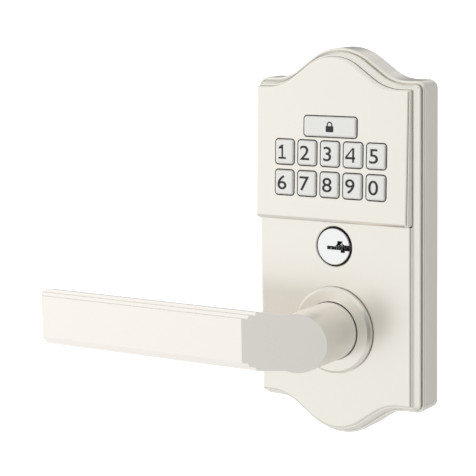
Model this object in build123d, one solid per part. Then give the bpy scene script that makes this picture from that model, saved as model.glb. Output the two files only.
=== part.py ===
"""Outside half of a keypad lever lock, one solid per real piece.

Millimetres. X is to the right seen from outside, +Y runs into the door, +Z is up.
The origin lies on the lever's axis at the door face, so the lock stands in -Y.
"Depth" below is the distance in front of the door face: a point at depth d has y = -d.
"""
from build123d import *
import math
import os

# ---- driving sizes -----------------------------------------------------------------

# Escutcheon outline
PLATE_WIDTH = 76.0
SHOULDER_TOP = 101.6          # height of the flat top shoulders above the lever axis
SHOULDER_BOTTOM = 32.0        # depth of the flat bottom shoulders below the lever axis
CROWN_RISE = 12.5             # how far the central arch stands out past the shoulders
CROWN_SLOPE = 35.5            # steepest slope of the sweep, degrees
SHOULDER_FLAT = 4.4           # flat between the ear's round and the sweep
EAR_RADIUS = 3.6
CROWN_SHARE = 0.56            # share of the sweep's two radii that the arch takes

# Escutcheon section
GASKET_THICKNESS = 0.8
GASKET_WIDTH = 6.5
WALL = 2.2
SIDE_DEPTH = 12.2             # front edge of the straight side wall
BEAD_RADIUS = 0.6
QUIRK_WIDTH = 0.35            # thin recess between the bead and the moulding
QUIRK_DEPTH = 0.5
QUIRK_INSET = 0.8
MOULDING_BREAK = 14.4         # depth at which the moulding turns inwards
MOULDING_DRAFT_LOW = 5.0      # degrees, from the recess to the break
MOULDING_DRAFT_HIGH = 25.0    # degrees, from the break to the flat step
MOULDING_BLEND = 5.0          # radius that rounds the break
MOULDING_LIP = 0.3
FACE_INSET = 3.1              # from the plate's outline to the flat face's outline
FACE_DEPTH = 18.1             # flat lower face
FACE_STEP = 1.2               # height of the flat face above the moulding
EDGE_RADIUS = 0.95            # round on the front edges of the face and the panel

# Keypad panel, a wedge that grows thicker towards its lower edge
DIVIDER_Z = 44.4
DECK_DEPTH = 16.1
PANEL_DEPTH_LOW = 21.7
PANEL_DEPTH_HIGH = 19.35
PANEL_LIP_RADIUS = 1.9        # round of the panel's lower front edge
PANEL_GAP = 0.12
POCKET_DEPTH = 1.5            # hollow in the panel's back that the key flanges lie in

# Keys
KEY_WIDTH = 8.7
KEY_HEIGHT = 10.1
KEY_PITCH_X = 10.53
KEY_PITCH_Z = 12.45
KEY_ROWS_Z = 66.0             # middle of the two rows
KEY_CORNER = 1.3
KEY_PROUD = 0.75
KEY_GAP = 0.4
KEY_FLANGE = 0.6
KEY_FLANGE_THICKNESS = 0.9
KEY_TRAVEL = 0.9
KEY_CROWN_RADIUS = 0.95
WAKE_WIDTH = 24.2
WAKE_HEIGHT = 8.2
WAKE_Z = 83.1

# Circuit board
BOARD_THICKNESS = 1.6
BOARD_STANDOFF = 0.4
BOARD_MARGIN = 1.6            # board beyond the key field at the sides
BOARD_ABOVE = 4.6             # board above the wake key
BOARD_BELOW = 5.4             # board below the lower row
BOARD_CLEARANCE = 0.5         # between the board and the housing's walls
WINDOW_MARGIN = 1.0           # opening in the deck beyond the key field
MEMBRANE_MARGIN = 0.6
BOARD_BOSS_RADIUS = 2.3
BOARD_BOSS_INSET = 3.0        # from the board's side to its lower screws
CHIP_HALF = 5.0
CHIP_THICKNESS = 1.4
CHIP_LEADS = 11
BUZZER_RADIUS = 6.0
BUZZER_HEIGHT = 4.6
SOCKET_HALF = (6.0, 2.6)
SOCKET_HEIGHT = 5.2
SOCKET_PINS = 6
SOCKET_PITCH = 1.5
DOME_RADIUS = 2.4
DOME_HEIGHT = 0.7
MEMBRANE_THICKNESS = 0.8
MEMBRANE_PAD = 0.4

# Key cylinder
CYLINDER_Z = 34.3
PLUG_FACE_RADIUS = 7.45
PLUG_RADIUS = 6.35
PLUG_PROUD = 0.4
FACE_GAP = 0.75               # ring between the plug's face and the housing
FACE_HOLE_CHAMFER = 0.35
SEAL_RECESS = 0.8             # how far the rubber ring lies below the face
SEAL_CLEARANCE = 0.1
CYLINDER_RADIUS = 9.9
CYLINDER_BACK = 5.2
KEYWAY_START = -2.9
CAM_LENGTH = 10.1
CAM_THICKNESS = 1.3
CAM_HUB_RADIUS = 4.2
CAM_TIP_RADIUS = 2.2
CYLINDER_EAR_THICKNESS = 3.4
CYLINDER_EAR_RADIUS = 3.2
WAFER_THICKNESS = 0.8
WAFER_PITCH = 2.0
WAFER_HALF_HEIGHT = 2.5

# Lever and its hub
SHANK_RADIUS = 11.9
LEVER_REACH = 124.2           # lever axis to the handle's tip
HANDLE_FACE = 54.7            # depth of the handle's flat front
HANDLE_FACE_HEIGHT = 17.8
HANDLE_THICKNESS = 12.5
HANDLE_STEP = 0.75            # drop of each of the two steps along the handle
ELBOW_X = -21.6               # where the slanted elbow facet meets the flat front
ELBOW_SLOPE = 16.4            # degrees
HANDLE_LEAN = 11.0            # degrees that its top and bottom lean in towards the back
TIP_RADIUS = 1.8
TIP_CORNER = 3.0              # round on the tip's upper and lower corners, seen from the front
COLLAR_RADIUS = 17.8
COLLAR_GROOVE = 0.35          # ring groove in the housing under the collar's rim: width each side and depth
COLLAR_HEIGHT = 2.75
COLLAR_CHAMFER = 1.1
COLLAR_SEAT = 0.9             # how far the collar's spigot stands into the housing's wall
SHANK_GAP = 0.3               # round the shank, inside the collar
BACK_ROUND = 3.0              # round on the handle's back edges
SLEEVE_RADIUS = 9.0
SLEEVE_LENGTH = 32.0
BUSH_WALL = 2.0
BUSH_FLANGE = 0.8
WASHER_THICKNESS = 0.6
CIRCLIP_THICKNESS = 0.7
CIRCLIP_GROOVE = 0.6
DRIVER_RADIUS = 6.0
SPINDLE_SIZE = 7.94
SPINDLE_REACH = 45.0          # how far the spindle stands into the door

# Clutch
CLUTCH_TRAVEL = 2.6
DOG_WIDTH = 5.0
DOG_BACK = 9.0
DOG_FRONT = 12.0
PINION_TEETH = 9
PINION_MODULE = 0.6
MOTOR_RADIUS = 3.2
MOTOR_LENGTH = 16.0
MOTOR_SHAFT_RADIUS = 1.0
STRAP_WALL = 0.7
STRAP_HALF_WIDTH = 3.0

# Fixings
POST_SPACING = 40.0
POST_RADIUS = 4.0
POST_BORE = 2.1
POST_REACH = 14.0
PLATE_THICKNESS = 1.2
BOSS_RADIUS = 3.2
SMALL_BOSS_RADIUS = 2.4
PLATE_SCREW_LENGTH = 8.0
FOOT_THICKNESS = 1.4          # feet of the guide and the motor strap
CABLE_WINDOW = ((-7.0, 7.0), (-23.0, -13.5))
M3 = (1.5, 2.5, 1.8)          # shank radius, head radius, head height
M25 = (1.25, 2.2, 1.4)
M2 = (1.0, 1.8, 1.2)

RUN = 0.05                    # radial clearance of a running fit
CLEAR = 0.2                   # clearance between pieces that don't touch
FREE_HOLE = 0.15              # added to a screw's radius where it passes freely
BORE_SPARE = 0.1              # how much deeper a screw's hole is than the screw

# ---- sizes that follow ---------------------------------------------------------------

HALF_WIDTH = PLATE_WIDTH / 2
FACE_BACK = FACE_DEPTH - WALL
DECK_BACK = DECK_DEPTH - WALL
MOULDING_DEPTH = FACE_DEPTH - FACE_STEP
MOULDING_INSET = QUIRK_INSET + QUIRK_WIDTH
CAVITY_INSET = MOULDING_INSET + WALL
PLATE_FRONT = GASKET_THICKNESS + PLATE_THICKNESS
PANEL_SLOPE = (PANEL_DEPTH_LOW - PANEL_DEPTH_HIGH) / (SHOULDER_TOP - DIVIDER_Z)
SHANK_BACK = FACE_DEPTH + 0.8
COLLAR_FRONT = FACE_DEPTH + COLLAR_HEIGHT
COLLAR_SPIGOT = (SLEEVE_RADIUS + COLLAR_RADIUS) / 2 + 0.3
BUSH_RADIUS = SLEEVE_RADIUS + BUSH_WALL
BUSH_SEAT = FACE_BACK - COLLAR_SEAT
WASHER_FRONT = BUSH_SEAT - BUSH_FLANGE - CLEAR
CIRCLIP_DEPTH = WASHER_FRONT - WASHER_THICKNESS - 0.1 - CIRCLIP_THICKNESS
FIXING_X = HALF_WIDTH - CAVITY_INSET - BOSS_RADIUS - 0.6
KEY_COLUMNS = 5
FIELD_HALF = (KEY_COLUMNS - 1) / 2 * KEY_PITCH_X + KEY_WIDTH / 2
FIELD_BOTTOM = KEY_ROWS_Z - KEY_PITCH_Z / 2 - KEY_HEIGHT / 2
ROWS_TOP = KEY_ROWS_Z + KEY_PITCH_Z / 2 + KEY_HEIGHT / 2
FIELD_TOP = WAKE_Z + WAKE_HEIGHT / 2
BOARD_FRONT = DECK_BACK - BOARD_STANDOFF
BOARD_BACK = BOARD_FRONT - BOARD_THICKNESS


# ---- helpers ---------------------------------------------------------------------------

OUTWARD = (0, -1, 0)
RIGHT = (1, 0, 0)
UP = (0, 0, 1)


def at(depth, x=0.0, z=0.0):
    """A drawing plane facing out of the door at this depth, moved to (x, z)."""
    return Plane.XZ.offset(depth) * Pos(x, z)


def slab(sketch, back, front, x=0.0, z=0.0):
    """Raise a sketch from one depth to another."""
    return extrude(at(back, x, z) * sketch, amount=front - back, dir=OUTWARD)


def drafted(sketch, back, front, angle):
    """Raise a sketch so that its sides lean inwards by an angle in degrees."""
    face = at(back) * sketch
    if face.faces()[0].normal_at().Y > 0:
        face = -face
    return extrude(face, amount=front - back, taper=angle)


def rod(radius, back, front, x=0.0, z=0.0):
    return slab(Circle(radius), back, front, x, z)


def block(x_range, z_range, depths):
    """A box between two x values, two z values and two depths."""
    width = x_range[1] - x_range[0]
    height = z_range[1] - z_range[0]
    return slab(Rectangle(width, height), depths[0], depths[1], sum(x_range) / 2, sum(z_range) / 2)


def tube(outer, inner, back, front, x=0.0, z=0.0):
    return slab(Circle(outer) - Circle(inner), back, front, x, z)


def edges_at(solid, depth, tolerance=1e-3):
    """The edges that lie wholly at one depth."""
    flat = []
    for edge in solid.edges():
        box = edge.bounding_box()
        if abs(box.min.Y + depth) < tolerance and abs(box.max.Y + depth) < tolerance:
            flat.append(edge)
    return flat


def outline(inset):
    """The plate's outline, drawn in by an inset: shoulders, ears and a swept arch each end."""
    slope = math.radians(CROWN_SLOPE)
    flat_x = HALF_WIDTH - EAR_RADIUS - SHOULDER_FLAT
    radii = (flat_x * math.tan(slope) - CROWN_RISE) / (1 / math.cos(slope) - 1)
    arch = radii * CROWN_SHARE
    sweep_radius = radii - arch
    side = HALF_WIDTH - inset
    ear_round = max(EAR_RADIUS - inset, 0)
    ear_mid = ear_round * math.sqrt(0.5)

    def half_end(shoulder, sign):
        """Points of the right half of one end, from the apex to the side."""
        apex_centre = shoulder + CROWN_RISE - arch
        sweep_centre = shoulder + sweep_radius
        points = {}
        for name, part in (("arch_mid", 0.5), ("arch_end", 1.0)):
            angle = slope * part
            points[name] = (
                (arch - inset) * math.sin(angle),
                apex_centre + (arch - inset) * math.cos(angle),
            )
        for name, part in (("sweep_start", 1.0), ("sweep_mid", 0.5), ("sweep_end", 0.0)):
            angle = slope * part
            points[name] = (
                flat_x - (sweep_radius + inset) * math.sin(angle),
                sweep_centre - (sweep_radius + inset) * math.cos(angle),
            )
        points["apex"] = (0, shoulder + CROWN_RISE - inset)
        ear_x, ear_z = side - ear_round, shoulder - inset - ear_round
        points["ear_start"] = (ear_x, shoulder - inset)
        points["ear_mid"] = (ear_x + ear_mid, ear_z + ear_mid)
        points["ear_end"] = (side, ear_z)
        return {name: (x, z * sign) for name, (x, z) in points.items()}

    edges = []
    ends = {1: half_end(SHOULDER_TOP, 1), -1: half_end(SHOULDER_BOTTOM, -1)}
    for sign in (1, -1):
        point = ends[sign]
        for flip in (1, -1):
            def spot(name):
                return (point[name][0] * flip, point[name][1])
            edges += [
                ThreePointArc(spot("apex"), spot("arch_mid"), spot("arch_end")),
                Line(spot("arch_end"), spot("sweep_start")),
                ThreePointArc(spot("sweep_start"), spot("sweep_mid"), spot("sweep_end")),
                Line(spot("sweep_end"), spot("ear_start")),
            ]
            if ear_round > 0:
                edges.append(ThreePointArc(spot("ear_start"), spot("ear_mid"), spot("ear_end")))
    for flip in (1, -1):
        top = (side * flip, ends[1]["ear_end"][1])
        bottom = (side * flip, ends[-1]["ear_end"][1])
        edges.append(Line(top, bottom))
    return make_face(edges)


def above(depths, z):
    """Everything above a height, between two depths."""
    return block((-PLATE_WIDTH, PLATE_WIDTH), (z, SHOULDER_TOP + 4 * CROWN_RISE), depths)


def below(depths, z):
    return block((-PLATE_WIDTH, PLATE_WIDTH), (-SHOULDER_BOTTOM - 4 * CROWN_RISE, z), depths)


def pan_screw(size, seat, tip, x, z):
    """A screw driven outwards from behind: head on the door side of its seat."""
    shank, head, height = size
    screw = rod(head, seat - height, seat, x, z) + rod(shank, seat, tip, x, z)
    rim = edges_at(screw, seat - height)
    screw = fillet(rim, height * 0.35)
    return screw - cross_recess(head, seat - height, x, z)


def cross_recess(head, back, x, z):
    """The cross that a driver fits, cut into a screw's head."""
    arm = head * 1.15
    thick = head * 0.26
    deep = head * 0.32
    return slab(Rectangle(arm, thick) + Rectangle(thick, arm), back - 0.01, back + deep, x, z)


def group(solids):
    """Separate solids that share one node."""
    return Compound(children=[Solid(piece.solids()[0].wrapped) for piece in solids])


# ---- places that several pieces share ------------------------------------------------------

PLATE_FIXINGS = [
    (side * FIXING_X, z)
    for side in (-1, 1)
    for z in (-SHOULDER_BOTTOM + CAVITY_INSET + BOSS_RADIUS, CYLINDER_Z - 2 * BOSS_RADIUS,
              SHOULDER_TOP - CAVITY_INSET - 0.6 * BOSS_RADIUS)
]
BOARD_HALF = FIELD_HALF + BOARD_MARGIN
BOARD_BOTTOM = FIELD_BOTTOM - BOARD_BELOW
BOARD_TOP = FIELD_TOP + BOARD_ABOVE
BOARD_NECK = WAKE_WIDTH / 2 + KEY_FLANGE + KEY_GAP + 2 * BOARD_BOSS_RADIUS + 2 * CLEAR
BOARD_FIXINGS = [
    place for side in (-1, 1)
    for place in ((side * (BOARD_HALF - BOARD_BOSS_INSET), BOARD_BOTTOM + SMALL_BOSS_RADIUS),
                  (side * (BOARD_NECK - BOARD_BOSS_RADIUS), WAKE_Z))
]
PANEL_FIXINGS = [
    (side * FIXING_X, z)
    for side in (-1, 1)
    for z in (BOARD_BOTTOM - M25[1] - 2 * CLEAR, SHOULDER_TOP - CAVITY_INSET - 3 * BOSS_RADIUS)
]
CYLINDER_EAR = CYLINDER_RADIUS + CYLINDER_EAR_RADIUS + CLEAR
CYLINDER_FIXINGS = [(-CYLINDER_EAR, CYLINDER_Z), (CYLINDER_EAR, CYLINDER_Z)]

KEY_PLACES = {}
for column in range(KEY_COLUMNS):
    key_x = (column - (KEY_COLUMNS - 1) / 2) * KEY_PITCH_X
    KEY_PLACES[f"key_{column + 1}"] = (key_x, KEY_ROWS_Z + KEY_PITCH_Z / 2, KEY_WIDTH, KEY_HEIGHT)
    lower = (column + 1 + KEY_COLUMNS) % 10
    KEY_PLACES[f"key_{lower}"] = (key_x, KEY_ROWS_Z - KEY_PITCH_Z / 2, KEY_WIDTH, KEY_HEIGHT)
KEY_PLACES["wake_key"] = (0.0, WAKE_Z, WAKE_WIDTH, WAKE_HEIGHT)

PINION_PITCH = PINION_TEETH * PINION_MODULE / 2
PINION_DEPTH = DOG_BACK - PINION_PITCH
PINION_Z = SLEEVE_RADIUS + 9.0
SLIDE_HALF = 6.0
SHOE_Z = SLEEVE_RADIUS + 1.2
SLIDE_TOP = CYLINDER_Z - CAM_LENGTH - CLEAR - CLUTCH_TRAVEL
RAIL_WIDTH = 2.8
RAIL_BOTTOM = SHOE_Z + CLUTCH_TRAVEL + 1.3
RAIL_TOP = RAIL_BOTTOM + 3.4
GUIDE_FRONT = DOG_FRONT + 1.4
GUIDE_FIXINGS = [(-15.5, RAIL_BOTTOM + 1.7), (11.6, RAIL_BOTTOM - 0.2)]
MOTOR_START = SLIDE_HALF + 3.4
BRACKET_X = MOTOR_START + MOTOR_LENGTH / 2
BRACKET_REACH = MOTOR_RADIUS + 3.8
BRACKET_FIXINGS = [(BRACKET_X + 2.0, PINION_Z - BRACKET_REACH), (BRACKET_X, PINION_Z + BRACKET_REACH)]
SPRING_X = -SLIDE_HALF - RAIL_WIDTH - 2.4
SPRING_DEPTH = (DOG_BACK + DOG_FRONT) / 2
SPRING_FOOT = RAIL_BOTTOM + 1.0
SPRING_HEAD = SLIDE_TOP - 1.6
SPRING_PAD = 1.9              # half width of the pads at the clutch spring's ends
SLEEVE_BACK = PLATE_FRONT + 1.0
SLEEVE_FRONT = SLEEVE_BACK + SLEEVE_LENGTH
SET_SCREW_DEPTH = (SHANK_BACK + SLEEVE_FRONT) / 2
DRIVER_FRONT = DOG_FRONT + 1.2
SOCKET_FRONT = DOG_BACK - 2.0
DOG_BOTTOM = DRIVER_RADIUS - CLUTCH_TRAVEL + 0.2
WAFER_DEPTHS = [CYLINDER_BACK + 2.4 + WAFER_PITCH * step for step in range(4)]
FLANGE_FRONT = DECK_DEPTH + POCKET_DEPTH - 0.1
FLANGE_BACK = FLANGE_FRONT - KEY_FLANGE_THICKNESS


def key_field(margin, top_margin, depths):
    """A stepped block over the key field: wide at the digit rows, narrower at the wake key."""
    half = FIELD_HALF + margin
    rows = block((-half, half), (FIELD_BOTTOM - margin, ROWS_TOP + margin), depths)
    half = WAKE_WIDTH / 2 + margin
    return rows + block((-half, half), (ROWS_TOP, FIELD_TOP + top_margin), depths)


# ---- escutcheon ---------------------------------------------------------------------------

def housing():
    """The cast frame: straight side, bead, recess, round moulding and the flat lower face."""
    body = slab(outline(0), GASKET_THICKNESS, SIDE_DEPTH)
    body = fillet(edges_at(body, SIDE_DEPTH), BEAD_RADIUS)
    quirk = SIDE_DEPTH - QUIRK_DEPTH
    break_inset = MOULDING_INSET + (MOULDING_BREAK - quirk) * math.tan(math.radians(MOULDING_DRAFT_LOW))
    moulding = slab(outline(MOULDING_INSET), GASKET_THICKNESS, quirk)
    moulding += drafted(outline(MOULDING_INSET), quirk, MOULDING_BREAK, MOULDING_DRAFT_LOW)
    moulding += drafted(outline(break_inset), MOULDING_BREAK, MOULDING_DEPTH, MOULDING_DRAFT_HIGH)
    moulding = fillet(edges_at(moulding, MOULDING_DEPTH), MOULDING_LIP)
    moulding = fillet(edges_at(moulding, MOULDING_BREAK), MOULDING_BLEND)
    face = slab(outline(FACE_INSET), GASKET_THICKNESS, FACE_DEPTH)
    face = fillet(edges_at(face, FACE_DEPTH), EDGE_RADIUS)
    body -= slab(outline(QUIRK_INSET) - outline(MOULDING_INSET), quirk, SIDE_DEPTH + 1)
    body = body + moulding + face
    # recess for the keypad panel
    body -= slab(outline(FACE_INSET - PANEL_GAP), DECK_DEPTH, FACE_DEPTH + 1) & above(
        (DECK_DEPTH, FACE_DEPTH + 1), DIVIDER_Z - PANEL_GAP)
    # hollow back
    body -= slab(outline(WALL), GASKET_THICKNESS - 1, SIDE_DEPTH - WALL)
    body -= slab(outline(CAVITY_INSET), GASKET_THICKNESS, DECK_BACK)
    body -= slab(outline(CAVITY_INSET), GASKET_THICKNESS, FACE_BACK) & below(
        (GASKET_THICKNESS, FACE_BACK), DIVIDER_Z - WALL)
    # bosses that the mounting plate is screwed to
    for x, z in PLATE_FIXINGS:
        wall_back = DECK_BACK if z > DIVIDER_Z else FACE_BACK
        body += rod(BOSS_RADIUS, PLATE_FRONT, wall_back + 0.5, x, z)
    for x, z in BOARD_FIXINGS:
        body += rod(BOARD_BOSS_RADIUS, BOARD_FRONT, DECK_BACK + 0.5, x, z)
    for x, z in BRACKET_FIXINGS + GUIDE_FIXINGS:
        body += rod(SMALL_BOSS_RADIUS, GUIDE_FRONT, FACE_BACK + 0.5, x, z)
    # openings
    body -= key_field(WINDOW_MARGIN, WINDOW_MARGIN, (BOARD_BACK, DECK_DEPTH + 1))
    hole = PLUG_FACE_RADIUS + FACE_GAP
    body -= rod(hole, FACE_BACK - 1, FACE_DEPTH + 1, 0, CYLINDER_Z)
    body -= Pos(0, -FACE_DEPTH + FACE_HOLE_CHAMFER / 2, CYLINDER_Z) * Rot(90, 0, 0) * Cone(
        hole, hole + FACE_HOLE_CHAMFER, FACE_HOLE_CHAMFER)
    body -= rod(CYLINDER_RADIUS + CLEAR, GASKET_THICKNESS, FACE_BACK, 0, CYLINDER_Z)
    body -= rod(COLLAR_SPIGOT, FACE_BACK - 1, FACE_DEPTH + 1)
    body -= tube(COLLAR_RADIUS + COLLAR_GROOVE, COLLAR_RADIUS - COLLAR_GROOVE, FACE_DEPTH - COLLAR_GROOVE,
                 FACE_DEPTH + 1)
    # screw holes
    for x, z in PLATE_FIXINGS:
        body -= rod(M3[0], GASKET_THICKNESS, PLATE_FRONT + PLATE_SCREW_LENGTH + BORE_SPARE, x, z)
    for x, z in PANEL_FIXINGS:
        body -= rod(M25[0] + FREE_HOLE, DECK_BACK - 1, DECK_DEPTH + 1, x, z)
    for x, z in BOARD_FIXINGS:
        body -= rod(M2[0], BOARD_FRONT - 1, DECK_DEPTH - 0.4, x, z)
    for x, z in CYLINDER_FIXINGS:
        body -= rod(M3[0], FACE_BACK - 1, FACE_BACK + 1.6, x, z)
    for x, z in BRACKET_FIXINGS + GUIDE_FIXINGS:
        body -= rod(M2[0], GUIDE_FRONT - 1, FACE_BACK + 1.4, x, z)
    return body


def panel_front(z):
    """Depth of the keypad panel's front at a height."""
    return PANEL_DEPTH_LOW - PANEL_SLOPE * (z - DIVIDER_Z)


def front_cutter(raise_by, reach=60.0):
    """All that lies in front of the panel's slanted face, raised by a little."""
    low, high = DIVIDER_Z - 20, SHOULDER_TOP + 3 * CROWN_RISE
    profile = Polyline(
        (-panel_front(low) - raise_by, low), (-panel_front(high) - raise_by, high),
        (-reach, high), (-reach, low), close=True)
    face = make_face(Plane.YZ * profile)
    return extrude(face, amount=PLATE_WIDTH, both=True)


def front_edges(solid, raised_by):
    """The edges whose middle lies on the panel's slanted front, raised by a little."""
    found = []
    for edge in solid.edges():
        middle = edge @ 0.5
        if abs(middle.Y + panel_front(middle.Z) + raised_by) < 1e-3:
            found.append(edge)
    return found


def keypad_panel():
    """The raised keypad panel, with a window for each key and a pocket for their flanges."""
    depths = (DECK_DEPTH, PANEL_DEPTH_LOW + 1)
    panel = slab(outline(FACE_INSET), *depths) & above(depths, DIVIDER_Z)
    panel -= front_cutter(0.0)
    lip = [edge for edge in front_edges(panel, 0.0) if abs((edge @ 0.5).Z - DIVIDER_Z) < 1e-3]
    panel = fillet(lip, min(PANEL_LIP_RADIUS, 0.8 * (PANEL_DEPTH_LOW - FACE_DEPTH)))
    rim = [edge for edge in front_edges(panel, 0.0)
           if (edge @ 0.5).Z > DIVIDER_Z + PANEL_LIP_RADIUS + 0.5]
    panel = fillet(rim, EDGE_RADIUS)
    pocket = (DECK_DEPTH - 1, DECK_DEPTH + POCKET_DEPTH)
    for x, z, width, height in KEY_PLACES.values():
        window = RectangleRounded(width + 2 * KEY_GAP, height + 2 * KEY_GAP, KEY_CORNER + KEY_GAP)
        panel -= slab(window, DECK_DEPTH, PANEL_DEPTH_LOW + 1, x, z)
        edge = KEY_FLANGE + KEY_GAP
        panel -= slab(Rectangle(width + 2 * edge, height + 2 * edge), *pocket, x, z)
    for x, z in PANEL_FIXINGS:
        panel -= rod(M25[0], DECK_DEPTH - 1, DECK_DEPTH + 2.2, x, z)
    return panel


def key(x, z, width, height):
    """One key: a pillowed cap on a thin retaining flange."""
    cap = slab(RectangleRounded(width, height, KEY_CORNER), FLANGE_BACK, PANEL_DEPTH_LOW + 3, x, z)
    cap -= front_cutter(KEY_PROUD)
    cap = fillet(front_edges(cap, KEY_PROUD), KEY_CROWN_RADIUS)
    flange = Rectangle(width + 2 * KEY_FLANGE, height + 2 * KEY_FLANGE)
    return cap + slab(flange, FLANGE_BACK, FLANGE_FRONT, x, z)


# ---- keypad electronics -----------------------------------------------------------------------

def membrane():
    """Silicone sheet between the keys and the switches, with a pad under each key."""
    front = FLANGE_BACK - KEY_TRAVEL - 0.1
    sheet_front = front - MEMBRANE_PAD
    back = sheet_front - MEMBRANE_THICKNESS
    sheet = key_field(MEMBRANE_MARGIN, MEMBRANE_MARGIN, (back, sheet_front))
    for x, z, _, _ in KEY_PLACES.values():
        sheet += rod(DOME_RADIUS, sheet_front - 0.1, front, x, z)
        sheet -= rod(DOME_RADIUS + 0.4, back - 1, BOARD_FRONT + DOME_HEIGHT + 0.05, x, z)
    return sheet


def circuit_board():
    """Stepped board that follows the key field and stays clear of the housing's walls."""
    depths = (BOARD_BACK, BOARD_FRONT)
    board = block((-BOARD_HALF, BOARD_HALF), (BOARD_BOTTOM, ROWS_TOP + BOARD_MARGIN), depths)
    board += block((-BOARD_NECK, BOARD_NECK), (ROWS_TOP, BOARD_TOP), depths)
    board &= slab(outline(CAVITY_INSET + BOARD_CLEARANCE), *depths)
    for x, z in BOARD_FIXINGS:
        board -= rod(M2[0] + FREE_HOLE, BOARD_BACK - 1, BOARD_FRONT + 1, x, z)
    return board


def dome_switches():
    """Snap domes, one under each key."""
    domes = []
    for x, z, _, _ in KEY_PLACES.values():
        dome = rod(DOME_RADIUS, BOARD_FRONT, BOARD_FRONT + DOME_HEIGHT, x, z)
        domes.append(fillet(edges_at(dome, BOARD_FRONT + DOME_HEIGHT), DOME_HEIGHT * 0.8))
    return group(domes)


def backlight_leds():
    """Side lights between the keys and in the rows above and below them."""
    lights = []
    for z in (KEY_ROWS_Z, KEY_ROWS_Z + KEY_PITCH_Z):
        for column in range(KEY_COLUMNS - 1):
            x = (column - (KEY_COLUMNS - 2) / 2) * KEY_PITCH_X
            lights.append(block((x - 0.8, x + 0.8), (z - 0.4, z + 0.4),
                                (BOARD_FRONT, BOARD_FRONT + 0.35)))
    return group(lights)


def controller_chip():
    """Square chip package on the board's back, with its leads."""
    z = KEY_ROWS_Z + CHIP_HALF - 1.0
    half, lead_half, lead_reach = CHIP_HALF, 0.18, 1.1
    depths = (BOARD_BACK - 0.4, BOARD_BACK)
    chip = block((-half, half), (z - half, z + half), (BOARD_BACK - CHIP_THICKNESS, BOARD_BACK - 0.15))
    for lead in range(CHIP_LEADS):
        offset = (lead - (CHIP_LEADS - 1) / 2) * 0.8
        for side in (-1, 1):
            reach = sorted((side * (half - 0.2), side * (half + lead_reach)))
            chip += block(reach, (z + offset - lead_half, z + offset + lead_half), depths)
            spread = [z + end for end in reach]
            chip += block((offset - lead_half, offset + lead_half), spread, depths)
    return chip


def buzzer():
    """Round sounder on the board's back, with its sound hole."""
    x, z = -CHIP_HALF - BUZZER_RADIUS - 6.0, KEY_ROWS_Z
    back = BOARD_BACK - BUZZER_HEIGHT
    can = rod(BUZZER_RADIUS, back, BOARD_BACK, x, z)
    can = fillet(edges_at(can, back), 0.6)
    return can - rod(1.0, back - 1, back + 1.6, x, z)


def cable_socket():
    """Shrouded socket that the cable from the inside half plugs into."""
    half_x, half_z = SOCKET_HALF
    x, z = half_x + 4.0, BOARD_BOTTOM + half_z + 3.9
    wall, pin_half = 0.85, 0.25
    back = BOARD_BACK - SOCKET_HEIGHT
    shroud = block((x - half_x, x + half_x), (z - half_z, z + half_z), (back, BOARD_BACK))
    shroud -= block((x - half_x + wall, x + half_x - wall), (z - half_z + wall, z + half_z - wall),
                    (back - 1, BOARD_BACK - 1.2))
    for pin in range(SOCKET_PINS):
        pin_x = x + (pin - (SOCKET_PINS - 1) / 2) * SOCKET_PITCH
        shroud += block((pin_x - pin_half, pin_x + pin_half), (z - pin_half, z + pin_half),
                        (back + 1, BOARD_BACK - 1))
    return shroud


# ---- key cylinder --------------------------------------------------------------------------------

def cylinder_body():
    """Fixed barrel behind the face, with two ears for its screws."""
    ear_back = FACE_BACK - CYLINDER_EAR_THICKNESS
    body = rod(CYLINDER_RADIUS, CYLINDER_BACK, FACE_BACK, 0, CYLINDER_Z)
    ears = SlotOverall(2 * (CYLINDER_EAR + CYLINDER_EAR_RADIUS), 2 * CYLINDER_EAR_RADIUS)
    body += slab(ears, ear_back, FACE_BACK, 0, CYLINDER_Z)
    body -= rod(PLUG_RADIUS + RUN, CYLINDER_BACK - 1, FACE_BACK + 1, 0, CYLINDER_Z)
    for x, z in CYLINDER_FIXINGS:
        body -= rod(M3[0] + FREE_HOLE, ear_back - 1, FACE_BACK + 1, x, z)
    return body


def cylinder_seal():
    """Rubber ring that fills the gap round the plug's face, a little below the surface."""
    outer = PLUG_FACE_RADIUS + FACE_GAP
    return tube(outer, PLUG_FACE_RADIUS + SEAL_CLEARANCE, FACE_BACK, FACE_DEPTH - SEAL_RECESS, 0, CYLINDER_Z)


def keyway():
    """Outline of the warded keyway, which breaks out through the right side of the plug."""
    open_end = PLUG_FACE_RADIUS + 2
    slot = [(KEYWAY_START, 0.25), (KEYWAY_START, -1.2)]
    below = [(3.4, -1.2), (3.4, -2.2), (5.3, -2.2), (5.3, -1.4), (open_end, -1.4)]
    above = [(open_end, 0.95), (5.0, 0.95), (4.2, 1.6), (4.2, 2.5), (1.9, 2.5), (1.9, 1.5), (0.9, 0.25)]
    return make_face(Polyline(*slot, *below, *above, close=True))


def cylinder_plug():
    """The part that the key turns: broad polished face, barrel and the warded keyway."""
    face_front = FACE_DEPTH + PLUG_PROUD
    flange_back = FACE_BACK + FREE_HOLE
    plug = rod(PLUG_RADIUS, CYLINDER_BACK - 0.1, flange_back, 0, CYLINDER_Z)
    plug += rod(PLUG_FACE_RADIUS, flange_back, face_front, 0, CYLINDER_Z)
    plug = fillet(edges_at(plug, face_front), 0.35)
    plug -= slab(keyway(), CYLINDER_BACK + 1.4, face_front + 1, 0, CYLINDER_Z)
    gap = 0.1
    for depth in WAFER_DEPTHS:
        plug -= block((-PLUG_RADIUS - 1, PLUG_RADIUS + 1),
                      (CYLINDER_Z - WAFER_HALF_HEIGHT - gap, CYLINDER_Z + WAFER_HALF_HEIGHT + gap),
                      (depth - gap, depth + WAFER_THICKNESS + gap))
    return plug - rod(M25[0], CYLINDER_BACK - 1, CYLINDER_BACK + 1.2, 0, CYLINDER_Z)


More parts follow.
